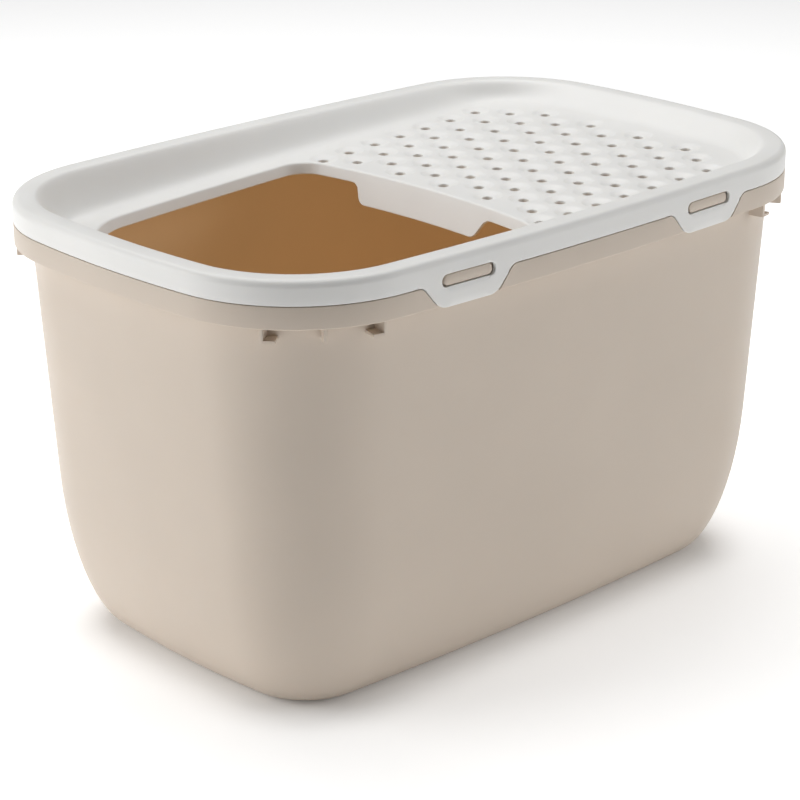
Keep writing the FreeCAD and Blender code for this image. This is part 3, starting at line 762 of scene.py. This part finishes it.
    @staticmethod
    def paint(piece):
        """Outside and band in the tub's colour, the inside in a deeper, warmer copy with a painted glow that
        paints in the light bounced inside the tub.
        """
        tub = bpy.context.scene.litter_tub
        mesh = piece.data
        mesh.materials.clear()
        mesh.materials.append(finish_material("tub_greige"))
        mesh.materials.append(finish_material("tub_inside_painted_glow"))
        for face in mesh.polygons:
            middle = face.center
            inward = face.normal.x * middle.x / 0.29 + face.normal.y * middle.y / 0.18
            below = middle.z < tub.band_low + tub.ledge - 0.0006
            floor = face.normal.z > 0.3 and middle.z < 0.2
            inner = below and (floor or inward < -0.15) and middle.z > 0.001
            face.material_index = 1 if inner and not LITTERBOX_OT_tub.outer(middle) else 0

    @staticmethod
    def outer(point):
        """Whether a point lies in the overhang under the band, outside the wall."""
        o, tub = bpy.context.scene.litter_outline, bpy.context.scene.litter_tub
        size = box_outline().sizes
        inset = tub.step + tub.draft * (tub.band_low - point.z) - 0.0008
        if point.z < tub.foot_high:
            return False
        x, y = abs(point.x), abs(point.y)
        cx, cy = Outline.corner_centre(size["east"] - size["east_arc"], size["east_arc"],
                                       size["half"] - size["side_arc"], size["side_arc"], size["east_corner"])
        if x > cx and y > cy:
            return math.hypot(x - cx, y - cy) > o.corner_arc - inset
        return x > side_limit(size["east"], size["east_arc"], y) - inset or \
            y > side_limit(size["half"], size["side_arc"], x) - inset


def side_limit(reach, radius, across):
    """How far out an arc of the outline stands at a place along it."""
    return reach - radius + math.sqrt(radius ** 2 - across ** 2)


class LITTERBOX_OT_lid(Operator):
    """Make the lid with its rim, dish, entry opening, apron and perforated step"""
    bl_idname = "litterbox.lid"
    bl_label = "Lid"

    def execute(self, context):
        bm = bmesh.new()
        outline = box_outline()
        top_ring, under_ring = self.rim(bm, outline)
        opening = opening_outline()
        self.floor(bm, top_ring, under_ring, opening)
        piece = new_piece("lid_shell", bm)
        cut_or_join(piece, self.clip_gaps(), "DIFFERENCE")
        settle(piece)
        piece.data.materials.clear()
        piece.data.materials.append(finish_material("lid_offwhite"))
        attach(piece, "lid")
        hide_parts("lid")
        return {"FINISHED"}

    @staticmethod
    def holes():
        """Centres of the step's holes."""
        lid = bpy.context.scene.litter_lid
        middle = (lid.rows - 1) / 2
        for row in range(lid.rows):
            shift = 0.5 if row % 2 else (0 if row in (0, lid.rows - 1) else 1)
            for column in range(HOLES_IN_ROW):
                across = column + shift
                bow = ROW_BOW * ((middle - row) / middle) ** 2
                fan = 1 + ROW_FAN * (across - HOLES_IN_ROW / 2)
                spread = SPREAD * (across - SPREAD_FROM) ** 2 - SPREAD_BACK
                yield (HOLE_START + across * HOLE_PITCH + spread - bow, (middle - row) * ROW_PITCH * fan)

    @staticmethod
    def dimple(distance):
        """How far the surface sinks at a distance from a hole's centre."""
        lid = bpy.context.scene.litter_lid
        wide, deep = lid.dimple / 2, lid.dimple_deep
        if distance >= wide:
            return 0.0
        u = distance / wide
        # a shallow bowl with a short soft lip at its brim
        bowl = deep * (1 - u * u)
        if u > BRIM:
            lip = deep * (1 - BRIM * BRIM)
            share = (u - BRIM) / (1 - BRIM)
            bowl = lip * (1 - share) ** 2 * (1 + 0.55 * share)
        if distance < lid.hole / 2 + HOLE_EDGE:
            bowl += HOLE_EDGE * (1 - (distance - lid.hole / 2) / HOLE_EDGE) ** 2
        return bowl

    def surface(self, x, y, centres=None):
        """Height of the dish's floor at a place of the step."""
        lid = bpy.context.scene.litter_lid
        height = lid.floor + lid.slope * x
        if centres is not None:
            height -= self.dimple(centres.find((x, y, 0))[2])
        return height

    @staticmethod
    def rim(bm, outline):
        """Skirt, rim and dish wall, above and below; returns the two rings where the floor begins."""
        tub, lid = bpy.context.scene.litter_tub, bpy.context.scene.litter_lid
        top, skirt = bpy.context.scene.litter_outline.high, tub.band_high + lid.seam
        wall, r, e, small = lid.wall, lid.rim_round, SKIRT_EDGE, SKIRT_INNER_EDGE
        # outside: skirt's lower edge, up the skirt, over the rim
        profile = quarter((wall - small, skirt + small), small, 0, -90, 2)
        profile += quarter((e, skirt + e), e, 270, 180, 5)
        profile += [(0.0, skirt + 0.004)]
        profile += quarter((r, top - r), r, 180, 90, 12)
        profile += [(r + (lid.rim_flat - r) * 0.5, top)]
        rings = [ring_verts(bm, outline.ring(inset), height) for inset, height in profile]

        def dish(thick):
            made = []
            reach, drop = lid.dish - lid.rim_flat, top - lid.floor
            for index in range(DISH_STEPS + 1):
                u = index / DISH_STEPS
                bend = math.pi * u ** DISH_BEND
                share = (1 - math.cos(bend)) / 2
                steep = 0
                if index:
                    steep = drop / reach * math.sin(bend) / 2 * math.pi * DISH_BEND * u ** (DISH_BEND - 1)
                tilt = math.atan(steep)
                inset = lid.rim_flat + reach * u - thick * math.sin(tilt)
                points = outline.ring(inset, lid.corner_cut * share)
                heights = [top * (1 - share) + share * (lid.floor + lid.slope * p[0])
                           - thick * math.cos(tilt) for p in points]
                made.append(ring_verts(bm, points, heights))
            return made

        above = dish(0.0)
        for a, b in zip(rings + above, (rings + above)[1:]):
            bridge(bm, a, b)
        # inside: up the skirt, under the rim, round the seating lip, under the dish
        near, far = LIP_INSET, LIP_INSET + LIP_THICK
        low = tub.band_low + tub.ledge + LIP_GAP
        under = top - wall
        bend = LIP_INSET - wall - 0.0007
        path = [(wall, skirt + 0.004)]
        path += quarter((wall + bend, under - bend), bend, 180, 90, 6)
        path += [(near, under), (near, low + LIP_EDGE), (near + LIP_EDGE, low),
                 (far - LIP_EDGE, low), (far, low + LIP_EDGE), (far, under), (lid.rim_flat - 0.002, under)]
        lower = [rings[0]] + [ring_verts(bm, outline.ring(inset), height) for inset, height in path]
        lower += dish(wall)
        for a, b in zip(lower, lower[1:]):
            bridge(bm, b, a)
        return above[-1], lower[-1]

    def apron_depth(self, y):
        """Depth of the collar's lower edge along the divider."""
        lid = bpy.context.scene.litter_lid
        half, low, high = lid.apron_half, lid.apron, lid.collar
        end = bpy.context.scene.litter_outline.wide / 2
        path = rounded([(0.0, -low, 0), (half - APRON_RUN, -low, APRON_ROUND),
                        (half + APRON_RUN, -high, APRON_ROUND), (end, -high, 0)])
        y = abs(y)
        for (ya, za), (yb, zb) in zip(path, path[1:]):
            if ya <= y <= yb and yb > ya:
                return -(za + (zb - za) * (y - ya) / (yb - ya))
        return high

    def floor(self, bm, top_ring, under_ring, opening):
        """Triangulated floor with its holes, and the collar around the opening."""
        lid = bpy.context.scene.litter_lid
        centres = list(self.holes())
        outer = [(v.co.x, v.co.y) for v in top_ring]
        inner = [(p[0], p[1]) for p in opening.ring(-OPENING_GROW)]
        points = [Vector(p) for p in outer]
        edges = [(i, (i + 1) % len(outer)) for i in range(len(outer))]
        start = len(points)
        points += [Vector(p) for p in inner]
        edges += [(start + i, start + (i + 1) % len(inner)) for i in range(len(inner))]
        around = HOLE_POINTS
        rims = []
        hole = lid.hole / 2
        for cx, cy in centres:
            first = len(points)
            rims.append(range(first, first + around))
            for k in range(around):
                a = 2 * math.pi * k / around
                points.append(Vector((cx + hole * math.cos(a), cy + hole * math.sin(a))))
            edges += [(first + i, first + (i + 1) % around) for i in range(around)]
        tree = near_tree(centres)
        taken = near_tree(outer + inner)
        wide = lid.dimple / 2
        radii = (hole + 0.0003, hole + 0.0007, hole * 1.5, hole * 1.9, hole * 2.25,
                 wide * 0.87, wide * 0.93, wide, wide + 0.0009)
        for cx, cy in centres:
            for index, radius in enumerate(radii):
                for k in range(around):
                    a = 2 * math.pi * (k + 0.5 * (index % 2)) / around
                    spot = Vector((cx + radius * math.cos(a), cy + radius * math.sin(a)))
                    if self.inside(spot, opening, 0.0007, taken):
                        points.append(spot)
        columns, rows = int(TUB_HIGH.x / FLOOR_PITCH), int(TUB_HIGH.y / FLOOR_PITCH)
        for i in range(-columns, columns + 1):
            for j in range(-rows, rows + 1):
                spot = Vector(((i + 0.5 * (j % 2)) * FLOOR_PITCH, j * FLOOR_PITCH * 0.87))
                if tree.find(spot.to_3d())[2] < wide + 0.0022:
                    continue
                if self.inside(spot, opening, 0.0026, taken):
                    points.append(spot)
        verts, _, faces, origin, _, _ = delaunay_2d_cdt(points, edges, [], 0, SAME_POINT, True)
        lookup = {}
        for index, sources in enumerate(origin):
            for source in sources:
                lookup[source] = index
        keep = []
        for face in faces:
            middle = sum((verts[i] for i in face), Vector((0, 0))) / len(face)
            if tree.find(middle.to_3d())[2] < hole * 0.985:
                continue
            if not self.inside(middle, opening, 0.0, None):
                continue
            keep.append(face)
        top, under = {}, {}
        for source, vert in enumerate(top_ring):
            top[lookup[source]] = vert
        for source, vert in enumerate(under_ring):
            under[lookup[source]] = vert
        for face in keep:
            for i in face:
                x, y = verts[i]
                if i not in top:
                    top[i] = bm.verts.new((x, y, self.surface(x, y, tree)))
                if i not in under:
                    near = tree.find((x, y, 0))[2]
                    boss = BOSS * max(0.0, 1 - (near - hole) / BOSS_WIDE) ** 0.7
                    low = self.surface(x, y) - lid.wall - self.dimple(max(near, hole + 0.0007)) - boss
                    under[i] = bm.verts.new((x, y, low))
        for face in keep:
            bm.faces.new([top[i] for i in face])
            bm.faces.new([under[i] for i in reversed(face)])
        for rim in rims:
            bridge(bm, [top[lookup[i]] for i in rim], [under[lookup[i]] for i in rim])
        upper = [top[lookup[start + i]] for i in range(len(inner))]
        lower = [under[lookup[start + i]] for i in range(len(inner))]
        self.collar(bm, opening, upper, lower, tree)

    def inside(self, spot, opening, margin, taken):
        """Whether a spot lies on the floor, clear of its edges by a margin."""
        o, lid = bpy.context.scene.litter_outline, bpy.context.scene.litter_lid
        if spot.x < lid.divider + 0.005 and within(spot, self.opening_loop(opening)):
            return False
        if taken is None:
            return True
        close = abs(spot.x) < o.long * 0.3 and abs(spot.y) < o.wide * 0.25
        if not close and not within(spot, self.floor_loop()):
            return False
        return taken.find(spot.to_3d())[2] > margin

    _loops = {}  # the two loops below, each worked out once

    def opening_loop(self, opening):
        if "opening" not in self._loops:
            self._loops["opening"] = [(p[0], p[1]) for p in opening.ring(-OPENING_GROW)]
        return self._loops["opening"]

    def floor_loop(self):
        if "floor" not in self._loops:
            lid = bpy.context.scene.litter_lid
            self._loops["floor"] = [(p[0], p[1]) for p in box_outline().ring(lid.dish, lid.corner_cut)]
        return self._loops["floor"]

    def collar(self, bm, opening, upper, lower, centres):
        """The rounded edge of the opening, the leaning collar and the apron."""
        lid = bpy.context.scene.litter_lid
        lean = lid.lean
        r, bottom, wall = COLLAR_ROUND, COLLAR_EDGE, lid.wall
        base = opening.ring(0.0)
        depth = []
        for x, y, nx, ny in base:
            on_divider = nx > 0.9 and x > -0.02
            depth.append(self.apron_depth(y) if on_divider else lid.collar)
        # the rounded upper edge as (grow outward, depth)
        turn = math.pi / 2 - math.atan(lean)
        tangent = r * math.tan(turn / 2)
        turns = [turn * k / 6 for k in range(7)]
        rows = [(tangent - r * math.sin(a), r * (1 - math.cos(a))) for a in turns]

        def point(p, grow, deep):
            x, y = p[0] + p[2] * grow, p[1] + p[3] * grow
            return (x, y, lid.floor + lid.slope * x - deep)

        rings = [upper]
        for grow, deep in rows:
            ring = []
            for p in base:
                x, y, z = point(p, grow, deep)
                near = centres.find((x, y, 0))[2]
                ring.append(bm.verts.new((x, y, z - self.dimple(near) * max(0.0, 1 - deep / r))))
            rings.append(ring)
        for share in (0.35, 0.7, 1.0):
            ring = []
            last = rows[-1][1]
            for p, d in zip(base, depth):
                deep = last + (d - bottom - last) * share
                ring.append(bm.verts.new(point(p, -lean * deep, deep)))
            rings.append(ring)
        # round the lower edge: centre of the edge lies half a wall behind the inner face
        half = wall / 2
        for k in range(1, 8):
            a = math.pi * k / 8
            ring = []
            for p, d in zip(base, depth):
                deep = d - bottom + math.sin(a) * bottom
                back = half * (1 - math.cos(a))
                grow = back - lean * (d - bottom) + 0.0002 * math.sin(a)
                ring.append(bm.verts.new(point(p, grow, deep)))
            rings.append(ring)
        for share in (1.0, 0.6, 0.25, 0.0):
            ring = []
            for p, d in zip(base, depth):
                deep = wall + UNDER_ROUND + (d - bottom - wall - UNDER_ROUND) * share
                ring.append(bm.verts.new(point(p, -lean * deep + wall, deep)))
            rings.append(ring)
        rings.append([bm.verts.new(point(p, wall + UNDER_ROUND - lean * wall, wall + 0.0001)) for p in base])
        rings.append(lower)
        for a, b in zip(rings, rings[1:]):
            bridge(bm, b, a)

    @staticmethod
    def clip_gaps():
        """Blocks that make room in the skirt for the clips' roots."""
        clip, tub = bpy.context.scene.litter_clip, bpy.context.scene.litter_tub
        low, high, wide = tub.band_high - CUT_PAST, clip.high, clip.reach
        blocks = []
        for side in (-1, 1):
            for hand in (-1, 1):
                xs = [hand * clip.place + wide * (i / 8 - 1) for i in range(17)]
                points = [(x, low) for x in xs] + [(x, high) for x in reversed(xs)]
                blocks.append(prism(points, -CUT_PAST, clip.thick + 0.0015, side, "clip_gap"))
        return blocks


def near_tree(points):
    """Finds the nearest of many flat points."""
    tree = KDTree(len(points))
    for index, point in enumerate(points):
        tree.insert((point[0], point[1], 0), index)
    tree.balance()
    return tree


def within(spot, loop):
    """Whether a spot lies inside a closed loop."""
    x, y = spot[0], spot[1]
    hit = False
    count = len(loop)
    for i in range(count):
        xa, ya = loop[i]
        xb, yb = loop[(i + 1) % count]
        if (ya > y) != (yb > y) and x < (xb - xa) * (y - ya) / (yb - ya) + xa:
            hit = not hit
    return hit


class LITTERBOX_OT_clips(Operator):
    """Make the four slotted clips, each rooted in the lid's skirt and curved along the long side"""
    bl_idname = "litterbox.clips"
    bl_label = "Clips"

    def execute(self, context):
        clip = context.scene.litter_clip
        flat = self.pattern()
        for side, where in ((-1, "front"), (1, "back")):
            for hand, which in ((-1, "left"), (1, "right")):
                node = f"lid_clip_{where}_{which}"
                piece = self.clip(flat, side, hand * clip.place, f"clip_{where}_{which}")
                piece.data.materials.append(finish_material("lid_offwhite"))
                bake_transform(piece)
                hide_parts(node)
        return {"FINISHED"}

    @staticmethod
    def pattern():
        """Flat triangulation of a clip: points, how far each sinks at a rounded edge, faces and loops."""
        clip = bpy.context.scene.litter_clip
        e = clip.edge
        free = clip_free_edge()
        slot = slot_loop()
        top = [(clip.reach, clip.high)]
        top += [(clip.reach * (1 - i / 12), clip.high) for i in range(1, 24)]
        top += [(-clip.reach, clip.high)]
        border = free + top
        points = [Vector(p) for p in border]
        edges = [(i, (i + 1) % len(border)) for i in range(len(border))]
        first = len(points)
        points += [Vector(p) for p in slot]
        edges += [(first + i, first + (i + 1) % len(slot)) for i in range(len(slot))]
        recess = {i: e for i in range(len(free))}
        recess.update({first + i: e for i in range(len(slot))})
        for share in (0.15, 0.4, 0.7, 1.0):
            drop = e - math.sqrt(max(0.0, e * e - (e - share * e) ** 2))
            for path, closed in ((free, False), (slot, True)):
                for spot in moved_in(path, share * e, closed):
                    if abs(spot[0]) > clip.reach - 1e-6 and not closed:
                        spot = (math.copysign(clip.reach, spot[0]), spot[1])
                    recess[len(points)] = drop
                    points.append(Vector(spot))
        half = int(clip.reach / CLIP_PITCH)
        for i in range(-half, half + 1):
            for j in range(math.ceil((clip.high - clip.low) / CLIP_PITCH)):
                spot = Vector((i * CLIP_PITCH, clip.low + j * CLIP_PITCH))
                if abs(spot.x) > clip.reach - 0.001 or spot.y > clip.high - 0.001:
                    continue
                if not within(spot, border) or within(spot, slot):
                    continue
                if min((spot - p).length for p in points) < 0.0011:
                    continue
                recess[len(points)] = 0.0
                points.append(spot)
        verts, _, faces, origin, _, _ = delaunay_2d_cdt(points, edges, [], 0, SAME_POINT, True)
        drops = {}
        lookup = {}
        for index, sources in enumerate(origin):
            drops[index] = max([recess.get(s, 0.0) for s in sources], default=0.0)
            for s in sources:
                lookup[s] = index
        keep = []
        for face in faces:
            middle = sum((verts[i] for i in face), Vector((0, 0))) / 3
            if within(middle, border) and not within(middle, slot):
                keep.append(face)
        border_loop = [lookup[i] for i in range(len(border))]
        slot_ring = [lookup[first + i] for i in range(len(slot))]
        return verts, drops, keep, border_loop, slot_ring

    @staticmethod
    def clip(flat, side, centre, name):
        """Bends the flat pattern along the long side and gives it its thickness."""
        clip = bpy.context.scene.litter_clip
        verts, drops, faces, border, slot = flat
        bm = bmesh.new()
        front, back = {}, {}
        for face in faces:
            for i in face:
                if i in front:
                    continue
                x = centre + verts[i].x
                z = verts[i].y
                front[i] = bm.verts.new((x, side_point(x, drops[i], side), z))
                back[i] = bm.verts.new((x, side_point(x, clip.thick - drops[i] * 0.35, side), z))
        for face in faces:
            bm.faces.new([front[i] for i in face])
            bm.faces.new([back[i] for i in reversed(face)])
        for loop in (border, slot):
            bridge(bm, [front[i] for i in loop], [back[i] for i in loop])
        return new_piece(name, bm)


class LITTERBOX_OT_stage(Operator):
    """Set up the floor, the lights and the camera"""
    bl_idname = "litterbox.stage"
    bl_label = "Stage"

    def execute(self, context):
        self.floor()
        self.lights()
        self.camera(context)
        return {"FINISHED"}

    @staticmethod
    def floor():
        """A white floor that is bright all round, with a painted soft shadow where its glow dims close to the
        box.
        """
        bm = bmesh.new()
        bmesh.ops.create_grid(bm, x_segments=8, y_segments=8, size=12.0)
        floor = new_piece("studio_floor", bm)
        material = bpy.data.materials.new("studio_white_painted_shadow")
        material.use_nodes = True
        nodes = material.node_tree.nodes
        links = material.node_tree.links
        shader = nodes["Principled BSDF"]
        shader.inputs["Base Color"].default_value = (0.95, 0.95, 0.95, 1)
        shader.inputs["Roughness"].default_value = 0.9
        shader.inputs["Specular IOR Level"].default_value = 0.1
        shader.inputs["Emission Color"].default_value = (1, 1, 1, 1)
        # distance from the base's outline, as from a rounded rectangle
        o, tub = bpy.context.scene.litter_outline, bpy.context.scene.litter_tub
        foot = tub.step + tub.foot_wide + tub.draft * tub.band_low
        corner = o.corner_arc - foot
        core = (o.long / 2 - foot - corner, o.wide / 2 - foot - corner, 0.0)
        previous = nodes.new("ShaderNodeTexCoord").outputs["Object"]
        steps = (("ABSOLUTE", None), ("SUBTRACT", core), ("MAXIMUM", (0, 0, 0)), ("LENGTH", None))
        for operation, operand in steps:
            step = nodes.new("ShaderNodeVectorMath")
            step.operation = operation
            links.new(previous, step.inputs[0])
            if operand:
                step.inputs[1].default_value = operand
            previous = step.outputs["Value" if operation == "LENGTH" else "Vector"]
        # painted shadow: the floor's glow is dimmed near the base's outline, which paints a soft dark band
        # round the box
        glow_and_painted_shadow = nodes.new("ShaderNodeMapRange")
        glow_and_painted_shadow.interpolation_type = "SMOOTHSTEP"
        glow_and_painted_shadow.inputs["From Min"].default_value = corner - 0.01
        glow_and_painted_shadow.inputs["From Max"].default_value = corner + 0.06
        glow_and_painted_shadow.inputs["To Min"].default_value = 0.05
        glow_and_painted_shadow.inputs["To Max"].default_value = 0.43
        links.new(previous, glow_and_painted_shadow.inputs["Value"])
        links.new(glow_and_painted_shadow.outputs["Result"], shader.inputs["Emission Strength"])
        floor.data.materials.append(material)

    @staticmethod
    def lights():
        world = bpy.data.worlds.new("studio")
        bpy.context.scene.world = world
        world.use_nodes = True
        sky = world.node_tree.nodes["Background"]
        sky.inputs["Color"].default_value = (1.0, 1.0, 1.0, 1)
        sky.inputs["Strength"].default_value = 0.06
        bpy.context.scene.view_settings.view_transform = "Standard"
        lamps = [
            ("left_softbox", (-2.1, 1.7, 1.1), (0, 0, 0.2), (1.8, 1.8), 40.0, (1.0, 0.995, 0.985)),
            ("right_softbox", (1.9, -1.9, 1.1), (0, 0, 0.2), (1.6, 1.6), 19.0, (1.0, 0.995, 0.985)),
            ("top_softbox", (0.3, 0.6, 2.4), (0, 0, 0.3), (2.4, 2.4), 51.0, (1.0, 1.0, 1.0)),
        ]
        for name, place, aim, size, power, tint in lamps:
            lamp = bpy.data.lights.new(name, "AREA")
            lamp.shape = "RECTANGLE"
            lamp.size, lamp.size_y = size
            lamp.energy = power
            lamp.color = tint
            piece = bpy.data.objects.new(name, lamp)
            piece.location = place
            piece.rotation_euler = (Vector(aim) - Vector(place)).to_track_quat("-Z", "Y").to_euler()
            bpy.context.scene.collection.objects.link(piece)

    @staticmethod
    def camera(context):
        stage = context.scene.litter_stage
        camera = bpy.data.cameras.new("camera")
        camera.lens = stage.lens
        camera.sensor_width = 36.0
        camera.shift_x = -0.0158
        camera.shift_y = 0.0004
        camera.clip_end = 60.0
        view = bpy.data.objects.new("camera", camera)
        level = math.cos(stage.rise)
        back = Vector((math.sin(stage.turn) * level, -math.cos(stage.turn) * level, math.sin(stage.rise)))
        view.location = Vector((0, 0, stage.aim)) + back * stage.away
        facing = back.to_track_quat("Z", "Y")
        view.rotation_euler = facing.to_euler()
        view.rotation_euler.rotate_axis("Z", math.radians(-0.18))
        context.scene.collection.objects.link(view)
        context.scene.camera = view


class LITTERBOX_PT_panel(Panel):
    """Lists the pieces and their sizes"""
    bl_label = "Litter Box"
    bl_idname = "LITTERBOX_PT_panel"
    bl_space_type = "VIEW_3D"
    bl_region_type = "UI"
    bl_category = "Litter Box"

    def draw(self, context):
        for operator in OPERATORS:
            self.layout.operator(operator.bl_idname)
        for name, group in SHAPES.items():
            box = self.layout.box()
            box.label(text=group.__doc__.split(".")[0])
            settings = getattr(context.scene, name)
            for key in group.__annotations__:
                box.prop(settings, key)


OPERATORS = (LITTERBOX_OT_tub, LITTERBOX_OT_lid, LITTERBOX_OT_clips, LITTERBOX_OT_stage)
CLASSES = (*SHAPES.values(), *OPERATORS, LITTERBOX_PT_panel)


def register():
    for item in CLASSES:
        bpy.utils.register_class(item)
    for name, group in SHAPES.items():
        setattr(bpy.types.Scene, name, PointerProperty(type=group))


def unregister():
    for name in SHAPES:
        delattr(bpy.types.Scene, name)
    for item in reversed(CLASSES):
        bpy.utils.unregister_class(item)


def main():
    register()
    bpy.ops.litterbox.tub()
    bpy.ops.litterbox.lid()
    bpy.ops.litterbox.clips()
    bpy.ops.litterbox.stage()


if __name__ == "__main__":
    main()
